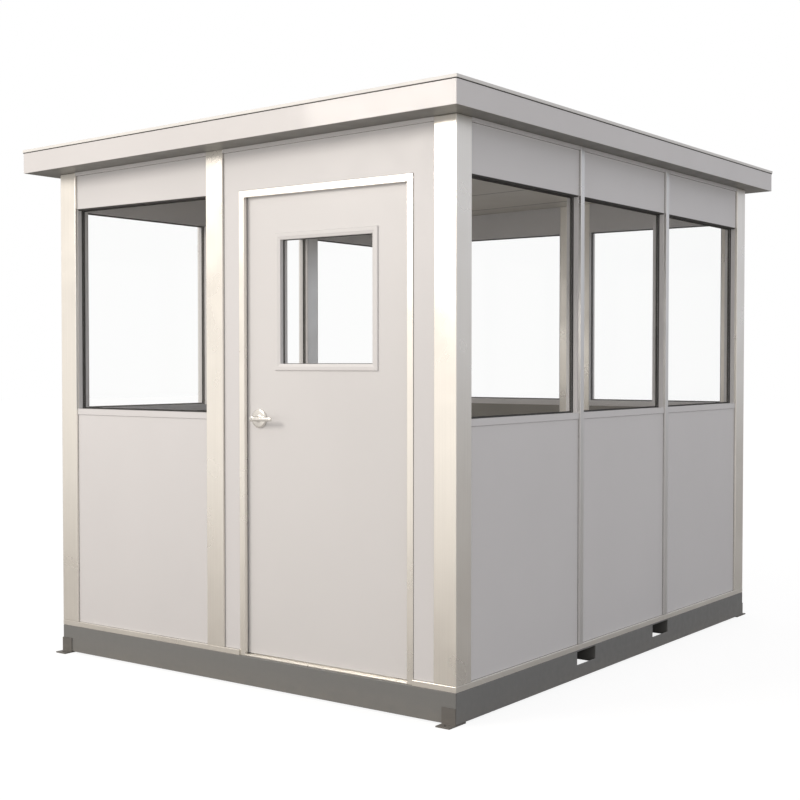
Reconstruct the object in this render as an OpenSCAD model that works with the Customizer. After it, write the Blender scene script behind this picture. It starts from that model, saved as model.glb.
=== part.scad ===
// Prefabricated guard booth: a panel building on a steel base, 97.5 by 120 inches.
// X runs along the door wall, Y along the side walls, Z is up from the ground.
// The door wall faces -Y, and the roof falls gently towards -X.

/* [Booth] */
// Width across the door wall, over the posts
booth_w = 2476.5; // [2400:0.5:2600]
// Length along the side walls, over the posts
booth_l = 3048; // [2900:0.5:3200]
// Height of the soffit at the high side wall
soffit_high = 2527; // [2500:1:2600]
// Fall of the roof for each millimetre of width
roof_fall = 0.019; // [0:0.001:0.03]

/* [Base] */
// Top of the steel base rails
base_top = 140; // [135:1:160]
// Wall thickness of the base channels
channel_t = 6; // [4:1:8]
// Width of the channel flanges
channel_flange = 50; // [40:1:60]
// Distance from the middle of the booth to each fork pocket's middle
fork_offset = 405; // [350:1:450]
// Width of a fork pocket
fork_w = 180; // [150:1:200]
// Bottom and top of a fork pocket's mouth
fork_z = [70, 134]; // [64:1:134]
// Thickness of the tie-down clip plates
clip_t = 6; // [5:1:10]
// Radius of the anchor hole in each clip
anchor_r = 9; // [6:0.5:10]

/* [Walls] */
// Face width of the corner posts
post_w = 114.3; // [110:0.1:120]
// Face width of the centre posts
centre_post_w = 106; // [100:0.5:115]
// Distance of the front centre post from the near corner
centre_post_at = 1375.4; // [1370:0.1:1380]
// Face width of the back centre post
back_post_w = 210; // [106:1:230]
// Face width of the right wall's studs
stud_w = 34; // [30:0.5:45]
// Place of the right wall's front stud along Y
front_stud_at = -457; // [-500:1:-420]
// Place of the right wall's back stud along Y
back_stud_at = 470; // [420:1:500]
// Face width of the left wall's studs
left_stud_w = 92; // [34:1:100]
// Place of the left wall's front stud along Y
left_front_stud_at = -487; // [-500:1:-420]
// Place of the left wall's back stud along Y
left_back_stud_at = 408; // [400:1:500]
// Thickness of the walls over the posts
wall_t = 76; // [70:1:90]
// How far the panels lie behind the posts' faces
panel_recess = 12; // [8:0.5:16]
// Height of the bottom track
track_h = 25; // [20:1:30]
// Height of the top track
top_track_h = 17; // [15:1:25]

/* [Windows] */
// Bottom of the sill flange
sill_bottom = 1240; // [1200:1:1260]
// Top of the sill
sill_top = 1270; // [1262:1:1300]
// Underside of the window head
head_bottom = 2291; // [2250:1:2296]
// Underside of the back windows' heads
back_head_bottom = 2330; // [2250:1:2340]
// Thickness of the window frame's head and sides
window_bar = 4; // [3:0.5:8]
// Thickness of the glass
glass_t = 6; // [4:1:8]

/* [Door] */
// Width of the doorway between the frame's faces
doorway_w = 934; // [920:1:950]
// Distance of the doorway's middle from the near corner
doorway_at = 725; // [720:1:730]
// Top of the doorway
doorway_top = 2270; // [2250:1:2280]
// Face width of the door frame
frame_face = 32; // [30:1:36]
// Thickness of the door leaf
leaf_t = 45; // [40:1:50]
// Clear gap round the leaf
leaf_gap = 6.5; // [6.5:0.5:8]
// Size of the glass opening in the door
lite_size = [530, 564]; // [500:1:560]
// Height of the middle of the glass opening
lite_at = 1784; // [1760:1:1800]
// Face width of the glass opening's trim
lite_trim = 31; // [25:1:35]
// Height of the lever handle
handle_at = 1249; // [1200:1:1260]
// Distance of the handle from the leaf's free edge
handle_backset = 79; // [70:1:90]

/* [Roof] */
// Overhang at the side walls
side_overhang = 101.6; // [90:0.1:120]
// Overhang at the door wall and the back wall
end_overhang = 152.4; // [140:0.1:170]
// Height of the fascia below the cap
fascia_h = 105; // [100:1:120]
// Height of the roof cap's edge
cap_h = 14; // [12:1:20]
// How far the cap's edge stands out over the fascia
cap_drip = 4; // [2:1:8]

/* [Hidden] */
$fn = 48;

half_w = booth_w / 2;
half_l = booth_l / 2;
wall_bottom = base_top + track_h;
panel_t = wall_t - panel_recess;
inner_w = half_w - wall_t;
inner_l = half_l - wall_t;
rail_bottom = clip_t;
floor_t = 5;
floor_top = base_top + floor_t;

post_x = half_w - centre_post_at;
door_x = half_w - doorway_at;
glass_set = 41;             // depth of the glass behind the posts' faces
frame_proud = 4;            // sill flanges and the door frame stand this far over the panels
bar_set = 3;                // window heads and sides lie this far behind the panels' faces

stop_depth = 20;            // depth of the door frame's outer stop
rabbet = 12;                // how much wider the frame is behind the stop
leaf_w = doorway_w + 2 * (rabbet - leaf_gap);
sill_gap = 5;               // gap under the leaf
leaf_bottom = 152;
leaf_top = doorway_top + rabbet - leaf_gap;
leaf_face = -half_l + panel_recess - frame_proud + stop_depth + leaf_gap;
leaf_back = leaf_face + leaf_t;
joint_gap = 0.1;            // bedding gap between sloping faces

hinge_r = 7;
hinge_bore_r = 3;
hinge_pin_r = 2.95;
hinge_plate_t = 3;
hinge_plate_w = 45;
hinge_inset = 12;           // the jamb plates start this far behind the leaf's face
plate_gap = 1;              // gap between a jamb plate and the knuckles' arms
knuckle_gap = 0.5;
hinge_x = door_x + leaf_w / 2 + leaf_gap / 2;
hinge_y = leaf_back + hinge_r;
hinge_heights = [380, 1215, 2050];
knuckle_h = 110;

handle_x = door_x - leaf_w / 2 + handle_backset;
rose_r = 44;
rose_t = 12;
rose_bore_r = 9;
spindle_r = 8.9;
spindle_hole_r = 12;        // hole through the leaf
hub_out = 62;               // reach of the handle out of the leaf's face
lever_l = 118;
lever_h = 21;
lever_t = 13;
lever_gap = 4;              // gap between a lever's hub and its rose
fascia_t = 3;

clip_w = 70;
clip_h = 75;
clip_out = 50;
clip_in = 75;
anchor_x = half_w - clip_w / 2;
anchor_y = half_l + clip_out / 2;

roof_x = half_w + side_overhang;
roof_y = half_l + end_overhang;

function soffit(x) = soffit_high - roof_fall * (half_w - x);
function wall_head(x, drop) = soffit(x) - drop - joint_gap;

// A block between two opposite corners
module block(low, high) {
    translate(low)
        cube(high - low);
}

// A prism whose outline in X and Z runs along Y from y0 to y1
module prism(outline, y0, y1) {
    translate([0, y1, 0])
        rotate([90, 0, 0])
            linear_extrude(y1 - y0)
                polygon(outline);
}

// An upright block whose top follows the soffit, drop below it
module under_roof(x0, x1, y0, y1, bottom, drop = 0) {
    prism([[x0, bottom], [x1, bottom], [x1, wall_head(x1, drop)], [x0, wall_head(x0, drop)]], y0, y1);
}

// A slab that follows the roof's slope, from low to high above the soffit
module roof_slab(x0, x1, y0, y1, low, high) {
    prism([[x0, soffit(x0) + low], [x1, soffit(x1) + low],
        [x1, soffit(x1) + high], [x0, soffit(x0) + high]], y0, y1);
}

// Children as they are and turned half round the booth's axis
module both_ends() {
    children();
    rotate(180)
        children();
}

// Children as they are and mirrored to the other side wall
module both_sides() {
    children();
    mirror([1, 0, 0])
        children();
}

// ---- base ----

// A channel along Y, mitred at both ends, its web's outer face at X = face
module mitred_channel(face, length) {
    back = face - channel_flange;
    reach = length / 2;
    difference() {
        translate([0, 0, rail_bottom])
            linear_extrude(base_top - rail_bottom)
                polygon([[face, -reach], [face, reach],
                    [back, reach - channel_flange], [back, channel_flange - reach]]);
        block([back - 1, -reach, rail_bottom + channel_t],
            [face - channel_t, reach, base_top - channel_t]);
    }
}

// A side rail with its two fork pocket mouths
module side_rail() {
    color("dimgray")
        difference() {
            mitred_channel(half_w, booth_l);
            for (side = [-1, 1])
                block([half_w - channel_flange - 1, side * fork_offset - fork_w / 2, fork_z[0]],
                    [half_w + 1, side * fork_offset + fork_w / 2, fork_z[1]]);
        }
}

module end_rail() {
    color("dimgray")
        rotate(90)
            mitred_channel(half_l, booth_w);
}

module base_rail_back() {
    end_rail();
}

module base_rail_front() {
    rotate(180)
        end_rail();
}

module base_rail_right() {
    side_rail();
}

module base_rail_left() {
    rotate(180)
        side_rail();
}

// Two inverted channels from side to side, open underneath
module fork_sleeves() {
    reach = half_w - channel_t;
    sleeve_t = 4;
    sleeve_bottom = 54;
    color("gray")
        for (side = [-1, 1])
            translate([0, side * fork_offset, 0])
                difference() {
                    block([-reach, -fork_w / 2 - sleeve_t, sleeve_bottom],
                        [reach, fork_w / 2 + sleeve_t, fork_z[1]]);
                    block([-reach - 1, -fork_w / 2, sleeve_bottom - 1],
                        [reach + 1, fork_w / 2, fork_z[1] - sleeve_t]);
                }
}

// Cross members under the floor, between the flanges of the end rails
module floor_joists() {
    joist_w = 40;
    joist_bottom = 40;
    reach = half_w - channel_flange;
    color("gray")
        for (at = [-1080, -720, 0, 720, 1080])
            block([-reach, at - joist_w / 2, joist_bottom], [reach, at + joist_w / 2, base_top]);
}

// Four angle clips on the end faces, with a foot under the base and one outside it
module tie_down_clips() {
    color("dimgray")
        both_ends()
            both_sides()
                difference() {
                    union() {
                        block([half_w - clip_w, half_l - clip_in, 0],
                            [half_w, half_l + clip_out, clip_t]);
                        block([half_w - clip_w, half_l, 0],
                            [half_w, half_l + clip_t, clip_h]);
                    }
                    translate([anchor_x, anchor_y, -1])
                        cylinder(r = anchor_r, h = clip_t + 2);
                }
}

module floor_plate() {
    color("silver")
        block([-inner_w, -inner_l, base_top], [inner_w, inner_l, floor_top]);
}

// Light track on the base, with a gap at the door frame
module bottom_track() {
    frame_w = doorway_w / 2 + frame_face;
    color("silver")
        difference() {
            block([-half_w, -half_l, base_top], [half_w, half_l, wall_bottom]);
            block([-inner_w, -inner_l, base_top - 1], [inner_w, inner_l, wall_bottom + 1]);
            block([door_x - frame_w, -half_l - 1, base_top - 1],
                [door_x + frame_w, -inner_l + 1, wall_bottom + 1]);
        }
}

// ---- posts and panels ----

// An L-shaped corner post, its outer corner at side * half_w and end * half_l
module corner_post(side, end) {
    color("gainsboro")
        difference() {
            under_roof(min(side * half_w, side * (half_w - post_w)),
                max(side * half_w, side * (half_w - post_w)),
                min(end * half_l, end * (half_l - post_w)),
                max(end * half_l, end * (half_l - post_w)), wall_bottom);
            translate([side * (half_w - (wall_t + post_w) / 2 - 1),
                end * (half_l - (wall_t + post_w) / 2 - 1), soffit_high / 2])
                cube([post_w - wall_t + 2, post_w - wall_t + 2, 2 * soffit_high], center = true);
        }
}

module corner_post_front_right() {
    corner_post(1, -1);
}

module corner_post_front_left() {
    corner_post(-1, -1);
}

module corner_post_back_right() {
    corner_post(1, 1);
}

module corner_post_back_left() {
    corner_post(-1, 1);
}

module front_centre_post() {
    color("gainsboro")
        under_roof(post_x - centre_post_w / 2, post_x + centre_post_w / 2,
            -half_l, -inner_l, wall_bottom);
}

module back_centre_post() {
    color("gainsboro")
        under_roof(-post_x - back_post_w / 2, -post_x + back_post_w / 2,
            inner_l, half_l, wall_bottom);
}

module side_studs(side, places, width) {
    outer = side * half_w;
    inner = side * inner_w;
    color("gainsboro")
        for (at = places)
            under_roof(min(outer, inner), max(outer, inner),
                at - width / 2, at + width / 2, wall_bottom);
}

module right_studs() {
    side_studs(1, [front_stud_at, back_stud_at], stud_w);
}

module left_studs() {
    side_studs(-1, [left_front_stud_at, left_back_stud_at], left_stud_w);
}

// Bays between the posts and the two studs of a side wall, as [start, end] along Y
function wall_bays(front, back, width) = [[-half_l + post_w, front - width / 2],
    [front + width / 2, back - width / 2],
    [back + width / 2, half_l - post_w]];
right_bays = wall_bays(front_stud_at, back_stud_at, stud_w);
left_bays = wall_bays(left_front_stud_at, left_back_stud_at, left_stud_w);

// Bays of the two end walls, as [start, end] along X
front_window_bay = [-half_w + post_w, post_x - centre_post_w / 2];
door_bay = [post_x + centre_post_w / 2, half_w - post_w];
back_bays = [[-half_w + post_w, -post_x - back_post_w / 2],
    [-post_x + back_post_w / 2, half_w - post_w]];

module side_lower_panels(side, bays) {
    outer = side * (half_w - panel_recess);
    inner = side * inner_w;
    color("#D8D0C8")
        for (bay = bays)
            block([min(outer, inner), bay[0], wall_bottom], [max(outer, inner), bay[1], sill_bottom]);
}

module right_lower_panels() {
    side_lower_panels(1, right_bays);
}

module left_lower_panels() {
    side_lower_panels(-1, left_bays);
}

module side_header_panels(side, bays) {
    outer = side * (half_w - panel_recess);
    inner = side * inner_w;
    color("#D8D0C8")
        for (bay = bays)
            under_roof(min(outer, inner), max(outer, inner), bay[0], bay[1],
                head_bottom + window_bar, top_track_h);
}

module right_header_panels() {
    side_header_panels(1, right_bays);
}

module left_header_panels() {
    side_header_panels(-1, left_bays);
}

module back_lower_panels() {
    color("#D8D0C8")
        for (bay = back_bays)
            block([bay[0], inner_l, wall_bottom], [bay[1], half_l - panel_recess, sill_bottom]);
}

module back_header_panels() {
    color("#D8D0C8")
        for (bay = back_bays)
            under_roof(bay[0], bay[1], inner_l, half_l - panel_recess,
                back_head_bottom + window_bar, top_track_h);
}

module front_lower_panel() {
    color("#D8D0C8")
        block([front_window_bay[0], -half_l + panel_recess, wall_bottom],
            [front_window_bay[1], -inner_l, sill_bottom]);
}

module front_header_panel() {
    color("#D8D0C8")
        under_roof(front_window_bay[0], front_window_bay[1], -half_l + panel_recess, -inner_l,
            head_bottom + window_bar, top_track_h);
}

module doorway_side_panels() {
    frame_w = doorway_w / 2 + frame_face;
    color("#D8D0C8") {
        block([door_bay[0], -half_l + panel_recess, wall_bottom],
            [door_x - frame_w, -inner_l, doorway_top + frame_face]);
        block([door_x + frame_w, -half_l + panel_recess, wall_bottom],
            [door_bay[1], -inner_l, doorway_top + frame_face]);
    }
}

module doorway_header_panel() {
    color("#D8D0C8")
        under_roof(door_bay[0], door_bay[1], -half_l + panel_recess, -inner_l,
            doorway_top + frame_face, top_track_h);
}

// Light track over the panels, between the posts and under the roof
module top_track() {
    low = -top_track_h;
    color("silver") {
        for (bay = back_bays)
            roof_slab(bay[0], bay[1], inner_l, half_l, low, -joint_gap);
        for (bay = [front_window_bay, door_bay])
            roof_slab(bay[0], bay[1], -half_l, -inner_l, low, -joint_gap);
        for (bay = right_bays)
            roof_slab(inner_w, half_w, bay[0], bay[1], low, -joint_gap);
        for (bay = left_bays)
            roof_slab(-half_w, -inner_w, bay[0], bay[1], low, -joint_gap);
    }
}

// ---- windows ----

// A window frame in a bay along X, its outer face towards -Y at Y = 0, its opening up to head
module window_frame(start, end, head) {
    depth = panel_t + frame_proud;
    front = frame_proud + bar_set;
    difference() {
        union() {
            block([start, front, sill_bottom], [end, depth, head + window_bar]);
            block([start, 0, sill_bottom], [end, front + 1, sill_top]);
        }
        block([start + window_bar, -1, sill_top], [end - window_bar, depth + 1, head]);
    }
}

// The glass of the same window
module window_pane(start, end, head) {
    front = glass_set - panel_recess + frame_proud;
    block([start + window_bar, front, sill_top], [end - window_bar, front + glass_t, head]);
}

// Puts a bay along X on the front wall
module on_front() {
    translate([0, -half_l + panel_recess - frame_proud, 0])
        children();
}

// Puts a bay along X on the back wall
module on_back() {
    rotate(180)
        on_front()
            children();
}

// Puts a bay along X on the right wall, where X becomes Y
module on_right() {
    rotate(90)
        translate([0, -half_w + panel_recess - frame_proud, 0])
            children();
}

module on_left() {
    rotate(180)
        on_right()
            children();
}

// The same bays counted the other way, for a wall that is turned half round
function turned(bays) = [for (bay = bays) [-bay[1], -bay[0]]];

module window_frames(bays, head) {
    color("silver")
        for (bay = bays)
            window_frame(bay[0], bay[1], head);
}

module window_panes(bays, head) {
    color("lightblue", 0.4)
        for (bay = bays)
            window_pane(bay[0], bay[1], head);
}

module right_window_frames() {
    on_right()
        window_frames(right_bays, head_bottom);
}

module left_window_frames() {
    on_left()
        window_frames(turned(left_bays), head_bottom);
}

module back_window_frames() {
    on_back()
        window_frames(turned(back_bays), back_head_bottom);
}

module front_window_frame() {
    on_front()
        window_frames([front_window_bay], head_bottom);
}

module right_window_glass() {
    on_right()
        window_panes(right_bays, head_bottom);
}

module left_window_glass() {
    on_left()
        window_panes(turned(left_bays), head_bottom);
}

module back_window_glass() {
    on_back()
        window_panes(turned(back_bays), back_head_bottom);
}

module front_window_glass() {
    on_front()
        window_panes([front_window_bay], head_bottom);
}

// ---- door frame and door ----

// A frame of two jambs and a head, open at the bottom, with a stop round the outside
module door_frame() {
    outer_w = doorway_w / 2 + frame_face;
    outer_face = -half_l + panel_recess - frame_proud;
    color("gainsboro")
        difference() {
            block([door_x - outer_w, outer_face, base_top],
                [door_x + outer_w, -inner_l, doorway_top + frame_face]);
            block([door_x - doorway_w / 2, outer_face - 1, base_top - 1],
                [door_x + doorway_w / 2, -inner_l + 1, doorway_top]);
            block([door_x - doorway_w / 2 - rabbet, outer_face + stop_depth, base_top - 1],
                [door_x + doorway_w / 2 + rabbet, -inner_l + 1, doorway_top + rabbet]);
            for (z = hinge_heights)
                hinge_recess(z);
        }
}

// Room in the frame for a hinge's jamb leaf
module hinge_recess(z) {
    jamb = door_x + doorway_w / 2 + rabbet;
    block([jamb - 1, leaf_face + hinge_inset, z - knuckle_h / 2],
        [jamb + hinge_plate_t, -inner_l + 1, z + knuckle_h / 2]);
}

module threshold() {
    color("silver")
        block([door_x - doorway_w / 2, -half_l + panel_recess - frame_proud, base_top],
            [door_x + doorway_w / 2, -inner_l, leaf_bottom - sill_gap]);
}

module door_leaf() {
    lite_w = lite_size[0] / 2;
    lite_h = lite_size[1] / 2;
    color("#D8D0C8")
        difference() {
            block([door_x - leaf_w / 2, leaf_face, leaf_bottom],
                [door_x + leaf_w / 2, leaf_back, leaf_top]);
            block([door_x - lite_w, leaf_face - 1, lite_at - lite_h],
                [door_x + lite_w, leaf_back + 1, lite_at + lite_h]);
            translate([handle_x, leaf_back + 1, handle_at])
                rotate([90, 0, 0])
                    cylinder(r = spindle_hole_r, h = leaf_t + 2);
        }
}

// Trim rings on both faces of the door round its glass
module door_lite_trim() {
    lite_w = lite_size[0] / 2;
    lite_h = lite_size[1] / 2;
    trim_t = 7;
    color("#D8D0C8")
        for (face = [leaf_face - trim_t, leaf_back])
            difference() {
                block([door_x - lite_w - lite_trim, face, lite_at - lite_h - lite_trim],
                    [door_x + lite_w + lite_trim, face + trim_t, lite_at + lite_h + lite_trim]);
                block([door_x - lite_w, face - 1, lite_at - lite_h],
                    [door_x + lite_w, face + trim_t + 1, lite_at + lite_h]);
            }
}

module door_lite_glass() {
    middle = (leaf_face + leaf_back) / 2;
    color("lightblue", 0.4)
        block([door_x - lite_size[0] / 2, middle - glass_t / 2, lite_at - lite_size[1] / 2],
            [door_x + lite_size[0] / 2, middle + glass_t / 2, lite_at + lite_size[1] / 2]);
}

// Jamb halves: a plate in the frame's recess and the upper and lower knuckles
module hinge_jamb_leaves() {
    jamb = door_x + doorway_w / 2 + rabbet;
    back = jamb + hinge_plate_t;
    plate_end = leaf_back - plate_gap;
    color("silver")
        for (z = hinge_heights) {
            block([jamb, leaf_face + hinge_inset, z - knuckle_h / 2],
                [back, plate_end, z + knuckle_h / 2]);
            for (low = [z - knuckle_h / 2, z + knuckle_h / 6])
                difference() {
                    union() {
                        translate([hinge_x, hinge_y, low])
                            cylinder(r = hinge_r, h = knuckle_h / 3);
                        block([jamb, plate_end, low], [back, hinge_y, low + knuckle_h / 3]);
                        block([hinge_x, hinge_y, low],
                            [back, hinge_y + hinge_plate_t, low + knuckle_h / 3]);
                    }
                    translate([hinge_x, hinge_y, low - 1])
                        cylinder(r = hinge_bore_r, h = knuckle_h / 3 + 2);
                }
        }
}

// Door halves: a plate on the leaf's inner face, the middle knuckle and the pin
module hinge_door_leaves() {
    half_knuckle = knuckle_h / 6 - knuckle_gap;
    color("silver")
        for (z = hinge_heights) {
            translate([hinge_x, hinge_y, z - half_knuckle])
                cylinder(r = hinge_r, h = 2 * half_knuckle);
            translate([hinge_x, hinge_y, z - knuckle_h / 2])
                cylinder(r = hinge_pin_r, h = knuckle_h);
            block([hinge_x - hinge_plate_w, leaf_back, z - half_knuckle],
                [hinge_x, leaf_back + hinge_plate_t, z + half_knuckle]);
        }
}

// Round roses on both faces of the leaf
module handle_roses() {
    color("silver")
        for (face = [leaf_face, leaf_back + rose_t])
            translate([handle_x, face, handle_at])
                rotate([90, 0, 0])
                    difference() {
                        cylinder(r = rose_r, h = rose_t);
                        translate([0, 0, -1])
                            cylinder(r = rose_bore_r, h = rose_t + 2);
                    }
}

// Two levers on one spindle through the leaf, each pointing towards the hinges
module lever_handle() {
    reach = hub_out + leaf_t / 2;
    hub_r = lever_h / 2 + 2;
    color("silver")
        translate([handle_x, (leaf_face + leaf_back) / 2, handle_at]) {
            rotate([90, 0, 0])
                cylinder(r = spindle_r, h = 2 * reach, center = true);
            both_faces()
                translate([0, -reach, 0]) {
                    rotate([-90, 0, 0])
                        cylinder(r = hub_r, h = hub_out - rose_t - lever_gap);
                    block([0, 0, -lever_h / 2], [lever_l, lever_t, lever_h / 2]);
                }
        }
}

module both_faces() {
    children();
    mirror([0, 1, 0])
        children();
}

// ---- roof ----

// The insulated slab inside the fascia: its underside is the ceiling and the soffit
module roof_panel() {
    color("whitesmoke")
        roof_slab(-roof_x + fascia_t, roof_x - fascia_t, -roof_y + fascia_t, roof_y - fascia_t,
            0, fascia_h);
}

module fascia() {
    inner_x = roof_x - fascia_t;
    inner_y = roof_y - fascia_t;
    color("#D8D0C8")
        difference() {
            roof_slab(-roof_x, roof_x, -roof_y, roof_y, 0, fascia_h);
            roof_slab(-inner_x, inner_x, -inner_y, inner_y, -1, fascia_h + 1);
        }
}

// The roof sheet, with its edge standing out over the fascia
module roof_cap() {
    outer_x = roof_x + cap_drip;
    outer_y = roof_y + cap_drip;
    color("whitesmoke")
        roof_slab(-outer_x, outer_x, -outer_y, outer_y, fascia_h + joint_gap, fascia_h + cap_h);
}

base_rail_front();
base_rail_back();
base_rail_left();
base_rail_right();
fork_sleeves();
floor_joists();
tie_down_clips();
floor_plate();
bottom_track();
corner_post_front_right();
corner_post_front_left();
corner_post_back_right();
corner_post_back_left();
front_centre_post();
back_centre_post();
right_studs();
left_studs();
right_lower_panels();
left_lower_panels();
back_lower_panels();
front_lower_panel();
right_header_panels();
left_header_panels();
back_header_panels();
front_header_panel();
doorway_side_panels();
doorway_header_panel();
right_window_frames();
left_window_frames();
back_window_frames();
front_window_frame();
right_window_glass();
left_window_glass();
back_window_glass();
front_window_glass();
top_track();
door_frame();
threshold();
roof_panel();
fascia();
roof_cap();
hinge_jamb_leaves();
door_leaf();
door_lite_trim();
door_lite_glass();
hinge_door_leaves();
handle_roses();
lever_handle();
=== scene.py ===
import math

import bmesh
import bpy
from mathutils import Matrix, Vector


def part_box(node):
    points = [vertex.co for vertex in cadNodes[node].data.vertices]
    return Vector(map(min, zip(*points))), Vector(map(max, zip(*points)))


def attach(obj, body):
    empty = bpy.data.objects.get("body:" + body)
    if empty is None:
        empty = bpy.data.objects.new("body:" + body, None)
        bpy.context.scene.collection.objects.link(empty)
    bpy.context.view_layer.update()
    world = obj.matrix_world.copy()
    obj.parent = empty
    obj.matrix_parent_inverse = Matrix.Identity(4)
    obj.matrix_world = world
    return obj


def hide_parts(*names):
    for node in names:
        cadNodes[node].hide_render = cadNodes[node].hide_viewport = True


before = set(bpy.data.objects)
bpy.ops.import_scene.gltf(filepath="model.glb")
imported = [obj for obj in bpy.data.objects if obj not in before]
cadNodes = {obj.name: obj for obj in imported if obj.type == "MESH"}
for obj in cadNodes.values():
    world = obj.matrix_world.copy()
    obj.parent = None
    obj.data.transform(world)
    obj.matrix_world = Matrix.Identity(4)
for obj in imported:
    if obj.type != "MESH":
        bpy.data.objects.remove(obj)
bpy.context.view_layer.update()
scene = bpy.context.scene

# lengths are in metres unless a name says otherwise; the places below are read from the CAD nodes
wallLow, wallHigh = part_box("bottom_track")
innerLow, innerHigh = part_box("floor_plate")
leafLow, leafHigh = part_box("door_leaf")
frameLow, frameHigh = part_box("door_frame")
postLow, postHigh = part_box("corner_post_front_right")
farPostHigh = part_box("corner_post_front_left")[1]
sillLow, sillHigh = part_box("threshold")
nearCorner = Vector((postHigh.x, postLow.y, 0))
roofFall = (postHigh.z - farPostHigh.z) / (postHigh.x - farPostHigh.x)
right, inwards, up = Vector((1, 0, 0)), Vector((0, 1, 0)), Vector((0, 0, 1))


def soffitAt(x):
    return postHigh.z + roofFall * (x - postHigh.x)


# shared mesh helpers

def finishPiece(mesh, name, material, body="booth", replaced=None):
    piece = bpy.data.objects.new(name, mesh)
    scene.collection.objects.link(piece)
    mesh.materials.clear()
    mesh.materials.append(material)
    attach(piece, body)
    if replaced:
        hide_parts(replaced)


# turns a shape into a piece; smooth is the angle in degrees up to which its shading is rounded
def finishShape(shape, name, material, body="booth", replaced=None, smooth=0):
    bmesh.ops.recalc_face_normals(shape, faces=shape.faces)
    mesh = bpy.data.meshes.new(name)
    shape.to_mesh(mesh)
    shape.free()
    if smooth:
        smoothRound(mesh, smooth)
    finishPiece(mesh, name, material, body, replaced)


def smoothRound(mesh, limit):
    for polygon in mesh.polygons:
        polygon.use_smooth = True
    mesh.set_sharp_from_angle(angle=math.radians(limit))


def roundEdges(shape, edges, width, segments):
    bmesh.ops.bevel(shape, geom=edges, offset=width, segments=segments, profile=0.5, affect="EDGES",
                    clamp_overlap=True)


def addBox(shape, low, high, edge=0.0, segments=2):
    part = bmesh.new()
    bmesh.ops.create_cube(part, size=1.0)
    low, high = Vector(low), Vector(high)
    for vert in part.verts:
        vert.co = Vector([low[axis] + (vert.co[axis] + 0.5) * (high[axis] - low[axis]) for axis in range(3)])
    if edge > 0:
        roundEdges(part, part.edges[:], edge, segments)
    scratch = bpy.data.meshes.new("scratch")
    part.to_mesh(scratch)
    part.free()
    shape.from_mesh(scratch)
    bpy.data.meshes.remove(scratch)


# a closed ring of mitred bars round a rectangle: outline points are (inwards, place along axis)
def addRing(shape, low, high, axis, outline):
    across, along = [index for index in range(3) if index != axis]
    corners = [(low[across], low[along], 1, 1), (high[across], low[along], -1, 1),
               (high[across], high[along], -1, -1), (low[across], high[along], 1, -1)]
    loops = []
    for cornerX, cornerY, inX, inY in corners:
        loop = []
        for inward, depth in outline:
            place = [0.0, 0.0, 0.0]
            place[across] = cornerX + inX * inward
            place[along] = cornerY + inY * inward
            place[axis] = depth
            loop.append(shape.verts.new(place))
        loops.append(loop)
    for index, loop in enumerate(loops):
        joinRings(shape, loop, loops[(index + 1) % len(loops)])


# faces between two rings of as many points; a ring of one point is the tip of a cone
def joinRings(shape, first, second):
    count = max(len(first), len(second))
    for step in range(count):
        after = (step + 1) % count
        if len(first) == 1:
            shape.faces.new((first[0], second[step], second[after]))
        elif len(second) == 1:
            shape.faces.new((first[step], first[after], second[0]))
        else:
            shape.faces.new((first[step], first[after], second[after], second[step]))


# a turned shape: outline points are (radius, along), and both ends close on the axis
def addLathe(shape, outline, centre, towards, sides):
    rings = []
    side = towards.orthogonal().normalized()
    other = towards.cross(side).normalized()
    turns = [2 * math.pi * step / sides for step in range(sides)]
    for radius, along in outline:
        middle = centre + towards * along
        if radius == 0:
            rings.append([shape.verts.new(middle)])
        else:
            rings.append([shape.verts.new(middle + side * (radius * math.cos(turn))
                                          + other * (radius * math.sin(turn))) for turn in turns])
    for first, second in zip(rings, rings[1:]):
        joinRings(shape, first, second)


# a copy of a CAD node with small rounded edges, which stands for the node
def softenNode(name, width, material, body):
    shape = bmesh.new()
    shape.from_mesh(cadNodes[name].data)
    bmesh.ops.remove_doubles(shape, verts=shape.verts[:], dist=0.00002)
    bmesh.ops.dissolve_limit(shape, angle_limit=math.radians(0.6), verts=shape.verts[:], edges=shape.edges[:])
    sharpEdges = [edge for edge in shape.edges
                  if len(edge.link_faces) == 2 and edge.calc_face_angle(0) > math.radians(30)]
    roundEdges(shape, sharpEdges, width, 2)
    finishShape(shape, name + "_soft", material, body, name)


# node helpers: an input is given a plain value, an output, or a node whose first output is meant

def fillInputs(tree, node, inputs):
    for key, value in inputs.items():
        if isinstance(value, bpy.types.Node):
            value = value.outputs[0]
        if isinstance(value, bpy.types.NodeSocket):
            tree.links.new(value, node.inputs[key])
        else:
            node.inputs[key].default_value = value


def addNode(tree, kind, inputs=None, **settings):
    node = tree.nodes.new(kind)
    for key, value in settings.items():
        setattr(node, key, value)
    fillInputs(tree, node, inputs or {})
    return node


def addMath(tree, operation, *values):
    return addNode(tree, "ShaderNodeMath", dict(enumerate(values)), operation=operation)


def newTree(name, inputs):
    tree = bpy.data.node_groups.new(name, "GeometryNodeTree")
    tree.interface.new_socket("Geometry", in_out="INPUT", socket_type="NodeSocketGeometry")
    for label, kind in inputs.items():
        tree.interface.new_socket(label, in_out="INPUT", socket_type="NodeSocket" + kind)
    tree.interface.new_socket("Material", in_out="INPUT", socket_type="NodeSocketMaterial")
    tree.interface.new_socket("Geometry", in_out="OUTPUT", socket_type="NodeSocketGeometry")
    return tree, tree.nodes.new("NodeGroupInput").outputs


# ends every tree: instances realized, then the material
def endTree(tree, given, geometry):
    realized = addNode(tree, "GeometryNodeRealizeInstances", {0: geometry})
    painted = addNode(tree, "GeometryNodeSetMaterial", {"Geometry": realized, "Material": given["Material"]})
    addNode(tree, "NodeGroupOutput", {0: painted})
    return tree


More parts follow.
